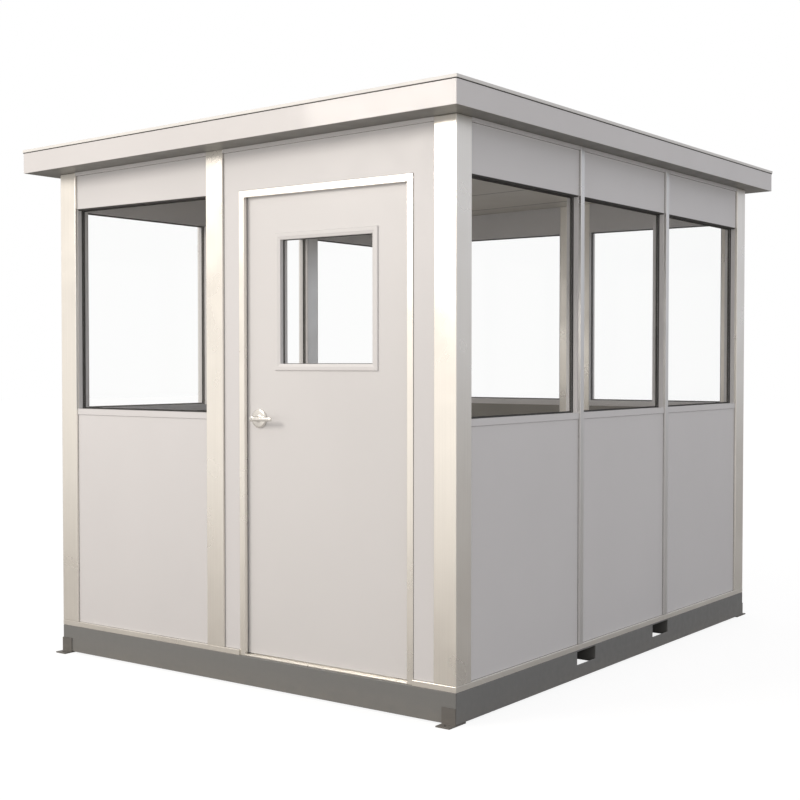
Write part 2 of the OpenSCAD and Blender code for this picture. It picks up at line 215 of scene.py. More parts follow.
def runTree(tree, mesh, name, values):
    holder = bpy.data.objects.new(name + "Holder", mesh)
    scene.collection.objects.link(holder)
    modifier = holder.modifiers.new("shape", "NODES")
    modifier.node_group = tree
    for item in tree.interface.items_tree:
        if item.in_out == "INPUT" and item.name in values:
            modifier[item.identifier] = values[item.name]
    bpy.context.view_layer.update()
    evaluated = holder.evaluated_get(bpy.context.evaluated_depsgraph_get())
    result = bpy.data.meshes.new_from_object(evaluated)
    result.name = name
    holder.modifiers.remove(modifier)
    bpy.data.objects.remove(holder)
    return result


# a round bead swept along the edges of a path mesh
def makeBeadTree():
    tree, given = newTree("beadAlongPath", {"Radius": "Float", "Corner": "Float", "Sides": "Int"})
    path = addNode(tree, "GeometryNodeMeshToCurve", {"Mesh": given["Geometry"]})
    corner = addNode(tree, "GeometryNodeFilletCurve", {"Curve": path, "Count": 3,
                                                       "Radius": given["Corner"]}, mode="POLY")
    section = addNode(tree, "GeometryNodeCurvePrimitiveCircle", {"Resolution": given["Sides"],
                                                                 "Radius": given["Radius"]})
    sweep = addNode(tree, "GeometryNodeCurveToMesh", {"Curve": corner, "Profile Curve": section,
                                                      "Fill Caps": True})
    return endTree(tree, given, sweep)


# a head on a washer at every point, standing along the point's "facing" direction
def makeFastenerTree():
    tree, given = newTree("fastenersOnPoints", {
        "Head radius": "Float", "Head height": "Float", "Head sides": "Int", "Washer radius": "Float",
        "Washer height": "Float", "Seed": "Int"})
    washer = addNode(tree, "GeometryNodeMeshCylinder", {
        "Vertices": 14, "Radius": given["Washer radius"], "Depth": given["Washer height"]})
    head = addNode(tree, "GeometryNodeMeshCone", {
        "Vertices": given["Head sides"], "Radius Bottom": given["Head radius"],
        "Radius Top": addMath(tree, "MULTIPLY", given["Head radius"], 0.78), "Depth": given["Head height"]})
    joined = addNode(tree, "GeometryNodeJoinGeometry", {0: washer})
    fillInputs(tree, joined, {0: head})
    facing = addNode(tree, "GeometryNodeInputNamedAttribute", {"Name": "facing"}, data_type="FLOAT_VECTOR")
    align = addNode(tree, "FunctionNodeAlignRotationToVector", {"Vector": facing}, axis="Z")
    spin = addNode(tree, "FunctionNodeRandomValue", {"Min": 0.0, "Max": 1.2, "Seed": given["Seed"]},
                   data_type="FLOAT")
    aboutAxis = addNode(tree, "ShaderNodeCombineXYZ", {"Z": spin.outputs[1]})
    asRotation = addNode(tree, "FunctionNodeEulerToRotation", {0: aboutAxis})
    turned = addNode(tree, "FunctionNodeRotateRotation", {0: align, 1: asRotation}, rotation_space="LOCAL")
    places = addNode(tree, "GeometryNodeInstanceOnPoints", {
        "Points": given["Geometry"], "Instance": joined, "Rotation": turned})
    return endTree(tree, given, places)


# like blocks in a row: each point of a line carries one block
def makeRowTree():
    tree, given = newTree("blocksInRow", {"Start": "Vector", "Step": "Vector", "Count": "Int",
                                          "Block": "Vector"})
    line = addNode(tree, "GeometryNodeMeshLine", {
        "Count": given["Count"], "Start Location": given["Start"], "Offset": given["Step"]}, mode="OFFSET")
    block = addNode(tree, "GeometryNodeMeshCube", {"Size": given["Block"]})
    places = addNode(tree, "GeometryNodeInstanceOnPoints", {"Points": line, "Instance": block})
    return endTree(tree, given, places)


# raised bars on a grid, each turned a quarter from its neighbours
def makeTreadTree():
    tree, given = newTree("treadBars", {
        "Width": "Float", "Length": "Float", "Columns": "Int", "Rows": "Int", "Pitch": "Float",
        "Bar length": "Float", "Bar width": "Float", "Bar height": "Float", "Middle": "Vector"})
    grid = addNode(tree, "GeometryNodeMeshGrid", {
        "Size X": given["Width"], "Size Y": given["Length"], "Vertices X": given["Columns"],
        "Vertices Y": given["Rows"]})
    place = addNode(tree, "GeometryNodeInputPosition")
    parts = addNode(tree, "ShaderNodeSeparateXYZ", {0: place})
    total = addMath(tree, "ADD", parts.outputs["X"], parts.outputs["Y"])
    whole = addMath(tree, "ROUND", addMath(tree, "DIVIDE", total, given["Pitch"]))
    everyOther = addMath(tree, "PINGPONG", whole, 1.0)
    turn = addMath(tree, "MULTIPLY_ADD", everyOther, math.pi / 2, math.pi / 4)
    spin = addNode(tree, "ShaderNodeCombineXYZ", {"Z": turn})
    bar = addNode(tree, "GeometryNodeMeshCone", {"Vertices": 8, "Radius Top": 0.32, "Radius Bottom": 0.5,
                                                 "Depth": 1.0})
    size = addNode(tree, "ShaderNodeCombineXYZ", {
        "X": given["Bar length"], "Y": given["Bar width"], "Z": given["Bar height"]})
    shaped = addNode(tree, "GeometryNodeTransform", {"Geometry": bar, "Scale": size})
    places = addNode(tree, "GeometryNodeInstanceOnPoints", {"Points": grid, "Instance": shaped,
                                                            "Rotation": spin})
    moved = addNode(tree, "GeometryNodeTransform", {"Geometry": places, "Translation": given["Middle"]})
    return endTree(tree, given, moved)


beadTree = makeBeadTree()
fastenerTree = makeFastenerTree()
rowTree = makeRowTree()
treadTree = makeTreadTree()
print("shape trees made")


# a path is a list of points, and closed paths return to their first point
def pathMesh(paths, closed):
    points, edges = [], []
    for path in paths:
        first = len(points)
        points.extend(path)
        edges.extend((first + step, first + step + 1) for step in range(len(path) - 1))
        if closed:
            edges.append((first + len(path) - 1, first))
    mesh = bpy.data.meshes.new("paths")
    mesh.from_pydata([tuple(point) for point in points], edges, [])
    return mesh


def addBead(name, paths, radius, material, body="booth", closed=False, sides=8):
    mesh = runTree(beadTree, pathMesh(paths, closed), name, {
        "Radius": radius, "Corner": jointSettings["beadCorner"], "Sides": sides, "Material": material})
    smoothRound(mesh, 60)
    finishPiece(mesh, name, material, body)


# steel screws; the points are pairs of a place and the direction that the head faces
def addFasteners(name, points, kind, body="booth"):
    mesh = bpy.data.meshes.new("points")
    mesh.from_pydata([tuple(place) for place, facing in points], [], [])
    attribute = mesh.attributes.new("facing", "FLOAT_VECTOR", "POINT")
    for item, (place, facing) in zip(attribute.data, points):
        item.vector = facing
    result = runTree(fastenerTree, mesh, name, {**screwSettings[kind], "Material": hingeMetal})
    finishPiece(result, name, hingeMetal, body)


def rowMesh(name, start, step, count, block, material):
    return runTree(rowTree, bpy.data.meshes.new("row"), name, {
        "Start": start, "Step": step, "Count": count, "Block": block, "Material": material})


# materials

def newMaterial(name):
    material = bpy.data.materials.new(name)
    material.use_nodes = True
    return material, material.node_tree, material.node_tree.nodes["Principled BSDF"]


def objectPlace(tree):
    return addNode(tree, "ShaderNodeTexCoord").outputs["Object"]


def objectPattern(tree, scale, stretch=(1, 1, 1), detail=3.0, roughness=0.5):
    mapping = addNode(tree, "ShaderNodeMapping", {"Vector": objectPlace(tree), "Scale": stretch})
    return addNode(tree, "ShaderNodeTexNoise", {
        "Vector": mapping, "Scale": scale, "Detail": detail, "Roughness": roughness})


def spread(tree, source, low, high, sourceLow=0.3, sourceHigh=0.7):
    return addNode(tree, "ShaderNodeMapRange", {
        "Value": source, "From Min": sourceLow, "From Max": sourceHigh, "To Min": low, "To Max": high})


def mixColours(tree, share, first, second):
    return addNode(tree, "ShaderNodeMix", {0: share, 6: first, 7: second}, data_type="RGBA").outputs[2]


def mixShaders(tree, share, first, second):
    return addNode(tree, "ShaderNodeMixShader", {0: share, 1: first, 2: second})


def addBump(tree, source, strength, distance):
    return addNode(tree, "ShaderNodeBump", {"Height": source, "Strength": strength, "Distance": distance})


def shade(colour, amount=1.0):
    return (*(channel * amount for channel in colour), 1)


# baked enamel on sheet metal: faint unevenness of the sheet, orange peel and soft dulling
def enamelMaterial(name, colour, dull=0.42, peel=0.18, coat=0.0):
    material, tree, shader = newMaterial(name)
    cloudy = spread(tree, objectPattern(tree, scale=1.6, stretch=(1, 1, 0.6)), 0.0, 1.0)
    scuffed = objectPattern(tree, scale=9.0, detail=4.0)
    sheet = objectPattern(tree, scale=2.2, stretch=(1, 1, 0.7), detail=1.0)
    grain = addBump(tree, objectPattern(tree, scale=420.0, detail=2.0), strength=peel, distance=0.00015)
    fillInputs(tree, grain, {"Normal": addBump(tree, sheet, strength=0.12, distance=0.004)})
    fillInputs(tree, shader, {
        "Base Color": mixColours(tree, cloudy, shade(colour, 0.965), shade(colour)),
        "Roughness": spread(tree, scuffed, dull - 0.05, dull + 0.06),
        "Normal": grain, "Coat Weight": coat, "Coat Roughness": 0.07})
    return material


# the roof panel's underside: a dark colour outside the walls, which paints the shade under the overhang onto
# the soffit, and a paler ceiling inside them
def linerMaterial(name, soffit, ceiling):
    material = enamelMaterial(name, soffit, dull=0.36, peel=0.1)
    tree = material.node_tree
    shader = tree.nodes["Principled BSDF"]
    painted = shader.inputs["Base Color"].links[0].from_socket
    parts = addNode(tree, "ShaderNodeSeparateXYZ", {0: objectPlace(tree)})
    wallHidden = 0.03  # the change of shade lies this far inside the wall panels
    withinX, withinY = [addMath(tree, "LESS_THAN", addMath(tree, "ABSOLUTE", parts.outputs[axis]),
                                reach + wallHidden)
                        for axis, reach in (("X", innerHigh.x), ("Y", innerHigh.y))]
    inside = addMath(tree, "MULTIPLY", withinX, withinY)
    fillInputs(tree, shader, {"Base Color": mixColours(tree, inside, painted, shade(ceiling))})
    return material


# clear anodised extrusion: fine die lines along one axis
def anodisedMaterial(name, colour, alongAxis):
    material, tree, shader = newMaterial(name)
    stretch = [260.0, 260.0, 260.0]
    stretch[alongAxis] = 1.5
    lines = objectPattern(tree, scale=1.0, stretch=stretch, detail=2.0, roughness=0.6)
    cloudy = objectPattern(tree, scale=5.0)
    fillInputs(tree, shader, {
        "Base Color": mixColours(tree, spread(tree, lines, 0.0, 1.0), shade(colour, 0.95), shade(colour)),
        "Roughness": spread(tree, cloudy, 0.26, 0.37),
        "Normal": addBump(tree, lines, strength=0.04, distance=0.0002), "Metallic": 0.85})
    return material


# thick shop paint on structural steel, with dust towards the ground
def steelPaintMaterial(name, colour, dust):
    material, tree, shader = newMaterial(name)
    parts = addNode(tree, "ShaderNodeSeparateXYZ", {0: objectPlace(tree)})
    low = spread(tree, parts.outputs["Z"], 0.4, 0.0, sourceLow=0.0, sourceHigh=0.10)
    streaks = objectPattern(tree, scale=14.0, stretch=(1, 1, 2), detail=5.0, roughness=0.6)
    patches = spread(tree, streaks, 0.3, 1.0, sourceLow=0.35, sourceHigh=0.75)
    dusty = addMath(tree, "MULTIPLY", low, patches)
    grain = objectPattern(tree, scale=160.0, detail=4.0)
    fillInputs(tree, shader, {
        "Base Color": mixColours(tree, dusty, shade(colour), shade(dust)),
        "Roughness": spread(tree, objectPattern(tree, scale=30.0, detail=4.0), 0.42, 0.6),
        "Normal": addBump(tree, grain, strength=0.3, distance=0.0004)})
    return material


# rubber, sealant and other soft strips, with a fine grain
def stripMaterial(name, colour, roughness=0.7):
    material, tree, shader = newMaterial(name)
    grain = objectPattern(tree, scale=300.0)
    fillInputs(tree, shader, {
        "Base Color": mixColours(tree, grain, shade(colour, 0.6), shade(colour, 1.4)),
        "Roughness": spread(tree, grain, roughness - 0.1, roughness + 0.1),
        "Normal": addBump(tree, grain, strength=0.3, distance=0.0002)})
    return material


# satin metal, ground with a fine grain
def satinMetalMaterial(name, colour, shine, metal=1.0):
    material, tree, shader = newMaterial(name)
    grain = objectPattern(tree, scale=1.0, stretch=(60, 60, 700))
    fillInputs(tree, shader, {
        "Base Color": mixColours(tree, spread(tree, grain, 0, 1), shade(colour, 0.92), shade(colour)),
        "Roughness": spread(tree, grain, shine - 0.05, shine + 0.08),
        "Normal": addBump(tree, grain, strength=0.08, distance=0.0001), "Metallic": metal})
    return material


# clear glass: seen through, with a gloss that grows at a flat angle and a faint waviness
def glassMaterial(name, tint):
    material, tree, shader = newMaterial(name)
    tree.nodes.remove(shader)
    clear = addNode(tree, "ShaderNodeBsdfTransparent", {"Color": shade(tint)})
    waves = objectPattern(tree, scale=1.8, detail=1.0)
    gloss = addNode(tree, "ShaderNodeBsdfGlossy", {
        "Roughness": spread(tree, waves, 0.015, 0.03),
        "Normal": addBump(tree, waves, strength=0.05, distance=0.002)})
    facing = addNode(tree, "ShaderNodeLayerWeight").outputs["Facing"]
    steep = addMath(tree, "POWER", facing, 5.0)
    share = spread(tree, steep, 0.008, 0.3, sourceLow=0.0, sourceHigh=1.0)
    fillInputs(tree, tree.nodes["Material Output"], {"Surface": mixShaders(tree, share, clear, gloss)})
    return material


colours = {
    "panel": (0.695, 0.685, 0.69),
    "door": (0.70, 0.69, 0.69),
    "fascia": (0.65, 0.635, 0.635),
    "roof": (0.74, 0.73, 0.71),
    # painted shade: the soffit's dark colour stands for the shade under the roof overhang
    "soffit": (0.15, 0.145, 0.13),
    "ceiling": (0.64, 0.605, 0.54),
    "trim": (0.90, 0.872, 0.815),
    "stud": (0.76, 0.755, 0.745),
    "base": (0.195, 0.197, 0.193),
    "clip": (0.135, 0.13, 0.122),
    # painted shade: the linings' dark colour stands for the shade inside the booth
    "liningPaintedShade": (0.30, 0.288, 0.265),
    "dust": (0.30, 0.275, 0.24),
    "primer": (0.15, 0.15, 0.145),
    "floor": (0.5, 0.485, 0.455),
    "steel": (0.72, 0.71, 0.69),
    "handle": (0.84, 0.825, 0.79),
    "rubber": (0.045, 0.044, 0.042),
    "sealant": (0.13, 0.127, 0.12),
    "glass": (0.997, 0.998, 0.997),
}

panelPaint = enamelMaterial("panelEnamel", colours["panel"])
doorPaint = enamelMaterial("doorEnamel", colours["door"], dull=0.38)
fasciaPaint = enamelMaterial("fasciaEnamel", colours["fascia"], dull=0.44, peel=0.06, coat=0.3)
roofPaint = enamelMaterial("roofEnamel", colours["roof"], dull=0.45)
# the liner's dark soffit colour is painted shade under the overhang
linerPaint = linerMaterial("linerEnamel", colours["soffit"], colours["ceiling"])
uprightTrim = anodisedMaterial("anodisedUpright", colours["trim"], alongAxis=2)
endTrim = anodisedMaterial("anodisedEndRun", colours["trim"], alongAxis=0)
studTrim = anodisedMaterial("anodisedStud", colours["stud"], alongAxis=2)
basePaint = steelPaintMaterial("basePaint", colours["base"], colours["dust"])
clipPaint = steelPaintMaterial("clipPaint", colours["clip"], colours["dust"])
# a dark enamel that paints the shade inside the booth on the linings
liningShadePaint = enamelMaterial("liningPaintedShadeEnamel", colours["liningPaintedShade"], dull=0.5)
primer = steelPaintMaterial("sleevePrimer", colours["primer"], colours["dust"])
floorMetal = satinMetalMaterial("floorSheet", colours["floor"], shine=0.42, metal=0.85)
rubber = stripMaterial("gasketRubber", colours["rubber"])
sealant = stripMaterial("jointSealant", colours["sealant"], roughness=0.6)
hingeMetal = satinMetalMaterial("hingeSteel", colours["steel"], shine=0.3)
handleMetal = satinMetalMaterial("handleSatin", colours["handle"], shine=0.2, metal=0.9)
clearGlass = glassMaterial("clearGlass", colours["glass"])
print("materials made")


# camera and light

cameraSettings = {
    "offset": (3.074, -4.5526, 1.5057),  # from the near corner at ground level
    "azimuth": 36.446,  # degrees, as is the pitch
    "pitchDown": 1.586,
    "lens": 60.166,  # millimetres, as is the sensor
    "sensor": 36.0,
    "clipEnd": 200.0,
}


def placeObject(data, place, turn):
    item = bpy.data.objects.new(data.name, data)
    scene.collection.objects.link(item)
    item.location = place
    item.rotation_euler = turn
    return item


def makeCamera():
    data = bpy.data.cameras.new("camera")
    data.lens = cameraSettings["lens"]
    data.sensor_width = cameraSettings["sensor"]
    data.clip_end = cameraSettings["clipEnd"]
    turn = (math.radians(90 - cameraSettings["pitchDown"]), 0, math.radians(cameraSettings["azimuth"]))
    scene.camera = placeObject(data, nearCorner + Vector(cameraSettings["offset"]), turn)


lightSettings = {
    "key": {"place": (-3.05, -7.95, 4.6), "aim": (0.2, -1.5, 1.9), "size": (2.8, 2.4), "power": 265,
            "colour": (1.0, 0.935, 0.865)},
    "side": {"place": (8.5, 1.0, 3.6), "aim": (1.2, 0.3, 1.2), "size": (3.0, 2.4), "power": 16,
             "colour": (0.95, 0.98, 1.0)},
    "warmSky": (0.86, 0.815, 0.77),
    "coolSky": (0.665, 0.675, 0.715),
    "warmTowards": (-0.56, -0.83, 0.0),
}

floorSettings = {
    "size": 80,
    "below": 0.0005,  # under the booth's feet
    "colour": (0.42, 0.4053, 0.3864),
    "glow": (1.0, 0.97, 0.93),
    "glowTowards": (0.1, -1.0, 0.0),  # the floor's far end that way glows, and the posts mirror it
    "glowNear": 4.2,
    "glowFar": 9.0,
    "glowMost": 0.75,
    "white": 0.86,  # what the camera sees, with a soft shadow on it
    "shadow": (0.2, 0.2, 0.2),
}


def makeLight(name):
    settings = lightSettings[name]
    data = bpy.data.lights.new(name + "Light", "AREA")
    data.shape = "RECTANGLE"
    data.size, data.size_y = settings["size"]
    data.energy = settings["power"]
    data.color = settings["colour"]
    towards = Vector(settings["aim"]) - Vector(settings["place"])
    placeObject(data, settings["place"], towards.to_track_quat("-Z", "Y").to_euler())


# the sky is warmer and brighter on the door wall's side, and plain white to the camera
def makeSky():
    world = bpy.data.worlds.new("studio")
    world.use_nodes = True
    scene.world = world
    tree = world.node_tree
    direction = addNode(tree, "ShaderNodeTexCoord").outputs["Generated"]
    towards = addNode(tree, "ShaderNodeVectorMath", {0: direction, 1: lightSettings["warmTowards"]},
                      operation="DOT_PRODUCT")
    share = spread(tree, towards.outputs["Value"], 0.0, 1.0, sourceLow=-0.9, sourceHigh=0.9)
    sky = tree.nodes["Background"]
    fillInputs(tree, sky, {"Color": mixColours(tree, share, shade(lightSettings["coolSky"]),
                                               shade(lightSettings["warmSky"]))})
    white = addNode(tree, "ShaderNodeBackground", {"Color": (1, 1, 1, 1)})
    seenByCamera = addNode(tree, "ShaderNodeLightPath").outputs["Is Camera Ray"]
    fillInputs(tree, tree.nodes["World Output"], {"Surface": mixShaders(tree, seenByCamera, sky, white)})


# a pale floor that blends into the white behind it and grows lighter with distance
def makeFloor():
    settings = floorSettings
    bpy.ops.mesh.primitive_plane_add(size=settings["size"], location=(0, 0, -settings["below"]))
    floor = bpy.context.object
    floor.name = "studioFloor"
    material, tree, shader = newMaterial("studioFloor")
    distance = addNode(tree, "ShaderNodeVectorMath", {0: objectPlace(tree), 1: settings["glowTowards"]},
                       operation="DOT_PRODUCT")
    fillInputs(tree, shader, {
        "Base Color": shade(settings["colour"]), "Roughness": 0.9, "Emission Color": shade(settings["glow"]),
        "Emission Strength": spread(tree, distance.outputs["Value"], 0.0, settings["glowMost"],
                                    settings["glowNear"], settings["glowFar"])})
    white = addNode(tree, "ShaderNodeEmission", {"Strength": settings["white"]})
    shadow = addNode(tree, "ShaderNodeBsdfDiffuse", {"Color": shade(settings["shadow"])})
    seen = addNode(tree, "ShaderNodeAddShader", {0: white, 1: shadow})
    seenByCamera = addNode(tree, "ShaderNodeLightPath").outputs["Is Camera Ray"]
    fillInputs(tree, tree.nodes["Material Output"], {"Surface": mixShaders(tree, seenByCamera, shader, seen)})
    floor.data.materials.append(material)


makeCamera()
makeSky()
makeFloor()
makeLight("key")
makeLight("side")
scene.view_settings.view_transform = "Standard"
print("camera and studio made")


# frame and panels: CAD nodes with small rounded edges

edgeWidths = {
    "post": 0.003,
    "panel": 0.0015,
    "track": 0.0015,
    "rail": 0.004,
    "frame": 0.0015,
    "window": 0.0007,
    "leaf": 0.002,
    "sheet": 0.0012,
}

# the axis that each wall faces along, and which way
panelWalls = {
    "right_lower_panels": (0, 1), "right_header_panels": (0, 1),
    "left_lower_panels": (0, -1), "left_header_panels": (0, -1),
    "back_lower_panels": (1, 1), "back_header_panels": (1, 1),
    "front_lower_panel": (1, -1), "front_header_panel": (1, -1),
    "doorway_side_panels": (1, -1), "doorway_header_panel": (1, -1),
}

windowWalls = {
    "right": (0, 1, "right_window_frames"), "left": (0, -1, "left_window_frames"),
    "back": (1, 1, "back_window_frames"), "front": (1, -1, "front_window_frame"),
}


def softenFrame():
    posts = ["corner_post_" + corner for corner in ("front_right", "front_left", "back_right", "back_left")]
    panels = [name for name in panelWalls if not name.startswith("doorway")]
    windows = [name for axis, sign, name in windowWalls.values()]
    rails = ["base_rail_" + side for side in ("front", "back", "left", "right")]
    for names, edge, material, slot in (
            (posts, "post", uprightTrim, "anodised_trim"),
            (["front_centre_post", "back_centre_post", "door_frame"], "frame", uprightTrim, "anodised_trim"),
            (["right_studs", "left_studs"], "frame", studTrim, "anodised_trim"),
            (panels, "panel", panelPaint, "wall_panel"),
            (windows, "window", panelPaint, "anodised_trim"),
            (["top_track"], "track", panelPaint, "anodised_trim"),
            (["bottom_track", "threshold"], "track", endTrim, "anodised_trim"),
            (rails, "rail", basePaint, "base_paint"),
            (["tie_down_clips"], "sheet", clipPaint, "base_paint"),
            (["fork_sleeves", "floor_joists"], "sheet", primer, "primed_steel"),
            (["door_leaf"], "leaf", doorPaint, "door_paint"),
            (["roof_cap"], "sheet", roofPaint, "roof_skin"),
            (["fascia"], "sheet", fasciaPaint, "fascia_paint"),
            (["hinge_jamb_leaves"], "window", hingeMetal, "hinge_steel")):
        for name in names:
            softenNode(name, edgeWidths[edge], material, "door" if name == "door_leaf" else "booth")


def setMaterial(name, material):
    slots = cadNodes[name].data.materials
    slots.clear()
    slots.append(material)


def dressNodes():
    for wall in windowWalls:
        setMaterial(wall + "_window_glass", clearGlass)
    for name in ("doorway_side_panels", "doorway_header_panel"):
        setMaterial(name, panelPaint)
    setMaterial("door_lite_glass", clearGlass)
    setMaterial("floor_plate", floorMetal)
    setMaterial("roof_panel", linerPaint)
    setMaterial("hinge_door_leaves", hingeMetal)


softenFrame()
dressNodes()
print("frame and panels dressed")


# the boxes of a node's separate solids
def islandBoxes(name):
    shape = bmesh.new()
    shape.from_mesh(cadNodes[name].data)
    bmesh.ops.remove_doubles(shape, verts=shape.verts[:], dist=0.00001)
    waiting = set(shape.verts)
    boxes = []
    while waiting:
        members = [waiting.pop()]
        for vert in members:  # the list grows while it is walked
            near = {edge.other_vert(vert) for edge in vert.link_edges} & waiting
            waiting -= near
            members.extend(near)
        boxes.append([Vector([pick(vert.co[axis] for vert in members) for axis in range(3)])
                      for pick in (min, max)])
    shape.free()
    return sorted(boxes, key=lambda box: tuple(box[0]))


# a rectangle on one face of a box, its corners moved inwards
def faceRectangle(low, high, axis, depth, inset=0.0):
    across, along = [index for index in range(3) if index != axis]
    corners = []
    for acrossHigh, alongHigh in ((False, False), (True, False), (True, True), (False, True)):
        place = Vector((0, 0, 0))
        place[axis] = depth
        place[across] = high[across] - inset if acrossHigh else low[across] + inset
        place[along] = high[along] - inset if alongHigh else low[along] + inset
        corners.append(place)
    return corners


# joint lines, gaskets and glazing beads

jointSettings = {
    "panelLine": 0.0013,
    "outerGasket": 0.0032,
    "innerGasket": 0.002,
    "gasketInset": 0.0015,
    "beadCorner": 0.0,
    "capLine": 0.0026,
    "capHeight": 0.1035,  # above the soffit
}

windowSettings = {
    "bar": 0.004,  # what shows of the frame beside and over the glass
    "sillBar": 0.030,
    "beadWidth": 0.006,
    "beadDepth": 0.010,
    "beadRoot": 0.0005,
    "headSet": 0.007,  # the head strip lies this far behind the frame's face
    "headEnd": 0.0003,
    "headEdge": 0.0003,
    "headBelow": 0.0015,
    "headAbove": 0.0005,
    "lipOut": 0.0012,
    "lipBack": 0.0004,
    "lipAbove": 0.0038,
}

liningSettings = {
    "edge": 0.004,
    "thick": 0.0012,
}


# headers end under the top track, which follows the roof, and the doorway's panels at the frame
def makePanelLines():
    trackHeight = postHigh.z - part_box("right_header_panels")[1].z
    for name, (axis, sign) in panelWalls.items():
        paths = []
        for low, high in islandBoxes(name):
            first, second, third, fourth = faceRectangle(low, high, axis, (high if sign > 0 else low)[axis])
            if "header" in name:
                for corner in (third, fourth):
                    corner.z = soffitAt(corner.x) - trackHeight
            if name == "doorway_side_panels":
                for corner in (third, fourth):
                    corner.z = frameHigh.z + 0.001
                paths.append([fourth, first, second, third])
            elif name == "doorway_header_panel":
                first.x, second.x = frameLow.x, frameHigh.x
                paths.append([first, second])
                paths.append([Vector((third.x, third.y, frameHigh.z)), third, fourth,
                              Vector((fourth.x, fourth.y, frameHigh.z))])
            else:
                paths.append([first, second, third, fourth])
        addBead(name + "_lines", paths, jointSettings["panelLine"], sealant,
                closed=not name.startswith("doorway"), sides=6)


# the openings between a wall's window bars, as deep as the panes
def windowOpenings(wall):
    axis, sign, frames = windowWalls[wall]
    across, bar = 1 - axis, windowSettings["bar"]
    openings = []
    for (paneLow, paneHigh), (low, high) in zip(islandBoxes(wall + "_window_glass"), islandBoxes(frames)):
        low[across] += bar
        high[across] -= bar
        low.z += windowSettings["sillBar"]
        high.z -= bar
        low[axis], high[axis] = paneLow[axis], paneHigh[axis]
        openings.append((low, high))
    return openings


# a dark strip across the head of a window, with a lip that covers the joint over it
def addHeadStrip(shape, low, high, axis, sign, outer, outside):
    settings = windowSettings
    across = 1 - axis
    for front, rear, above in ((outside, outer, settings["headAbove"]),
                               (outside + sign * settings["lipOut"], outside - sign * settings["lipBack"],
                                settings["lipAbove"])):
        stripLow, stripHigh = low.copy(), high.copy()
        stripLow[across] += settings["headEnd"]
        stripHigh[across] -= settings["headEnd"]
        stripLow[axis], stripHigh[axis] = sorted((front, rear))
        stripLow.z, stripHigh.z = high.z - settings["headBelow"], high.z + above
        addBox(shape, stripLow, stripHigh, settings["headEdge"], 1)


def addGlazingBead(shape, low, high, axis, sign, inner):
    width, depth = windowSettings["beadWidth"], sign * windowSettings["beadDepth"]
    start = inner - sign * windowSettings["beadRoot"]
    addRing(shape, low, high, axis, [
        (0.0, start), (width, start), (width, start - depth * 0.45), (width * 0.7, start - depth * 0.85),
        (width * 0.4, start - depth), (0.0, start - depth)])


def makeWindowSeals():
    for wall, (axis, sign, frames) in windowWalls.items():
        outerPaths, innerPaths = [], []
        beads, strips = bmesh.new(), bmesh.new()
        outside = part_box(frames)[1 if sign > 0 else 0][axis] - sign * windowSettings["headSet"]
        for low, high in windowOpenings(wall):
            outer, inner = (high[axis], low[axis]) if sign > 0 else (low[axis], high[axis])
            outerPaths.append(faceRectangle(low, high, axis, outer, jointSettings["gasketInset"]))
            innerPaths.append(faceRectangle(low, high, axis, inner, windowSettings["beadWidth"]))
            addHeadStrip(strips, low, high, axis, sign, outer, outside)
            addGlazingBead(beads, low, high, axis, sign, inner)
        wallName = wall + "_window"
        addBead(wallName + "_outer_gaskets", outerPaths, jointSettings["outerGasket"], rubber,
                closed=True)
        addBead(wallName + "_inner_gaskets", innerPaths, jointSettings["innerGasket"], rubber,
                closed=True)
        finishShape(strips, wallName + "_head_strips", rubber)
        finishShape(beads, wallName + "_glazing_beads", sealant)


# thin dark lining sheets on the inner faces of the lower panels, which paint the shade inside the booth
def makeLinings():
    edge, thick = liningSettings["edge"], liningSettings["thick"]
    for name, (axis, sign) in panelWalls.items():
        if "lower" not in name:
            continue
        shape = bmesh.new()
        for low, high in islandBoxes(name):
            inner = (low if sign > 0 else high)[axis]
            for side in (1 - axis, 2):
                low[side] += edge
                high[side] -= edge
            low[axis], high[axis] = inner - thick, inner + thick
            addBox(shape, low, high, thick * 0.6, 1)
        finishShape(shape, name.split("_")[0] + "_shade_linings", liningShadePaint)


# a black strip round the fascia under the roof cap's edge: partly a real foam closure, partly painted drip
# shadow under the cap
def makeCapLine():
    low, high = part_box("fascia")
    corners = [Vector((x, y, soffitAt(x) + jointSettings["capHeight"]))
               for x, y in ((low.x, low.y), (high.x, low.y), (high.x, high.y), (low.x, high.y))]
    addBead("cap_closure_strip_and_drip_shadow", [corners], jointSettings["capLine"], rubber, closed=True,
            sides=6)


makePanelLines()
makeWindowSeals()
makeLinings()
makeCapLine()
print("joint lines and gaskets made")


# door: lite trim, weatherstrip, sweep, threshold, latch

screwSettings = {
    "small": {"Head radius": 0.0042, "Head height": 0.0026, "Head sides": 12, "Washer radius": 0.0052,
              "Washer height": 0.0012, "Seed": 3},
    "flat": {"Head radius": 0.0038, "Head height": 0.0016, "Head sides": 12, "Washer radius": 0.0045,
             "Washer height": 0.0008, "Seed": 5},
    "roof": {"Head radius": 0.0055, "Head height": 0.0045, "Head sides": 6, "Washer radius": 0.0085,
             "Washer height": 0.0018, "Seed": 7},
}

liteSettings = {
    "width": 0.031,
    "depth": 0.007,
    "gasket": 0.0018,
    "gasketInset": 0.001,
    "screwInset": 0.36,  # as a share of the trim's width
}

sealSettings = {
    "weatherstrip": 0.0026,
    "stopSet": 0.020,  # the stop's face, behind the frame's face
    "stripIn": 0.006,
    "stripOver": 0.0005,
    "leafGap": 0.0065,
    "sweepEnd": 0.004,
    "sweepHigh": 0.026,
    "sweepOut": 0.0025,
    "sweepLow": 0.0012,
    "finLow": 0.0025,  # how far the fin under the leaf hangs, and where it lies
    "finHigh": 0.002,
    "finFront": 0.0095,
    "finBack": 0.002,
}

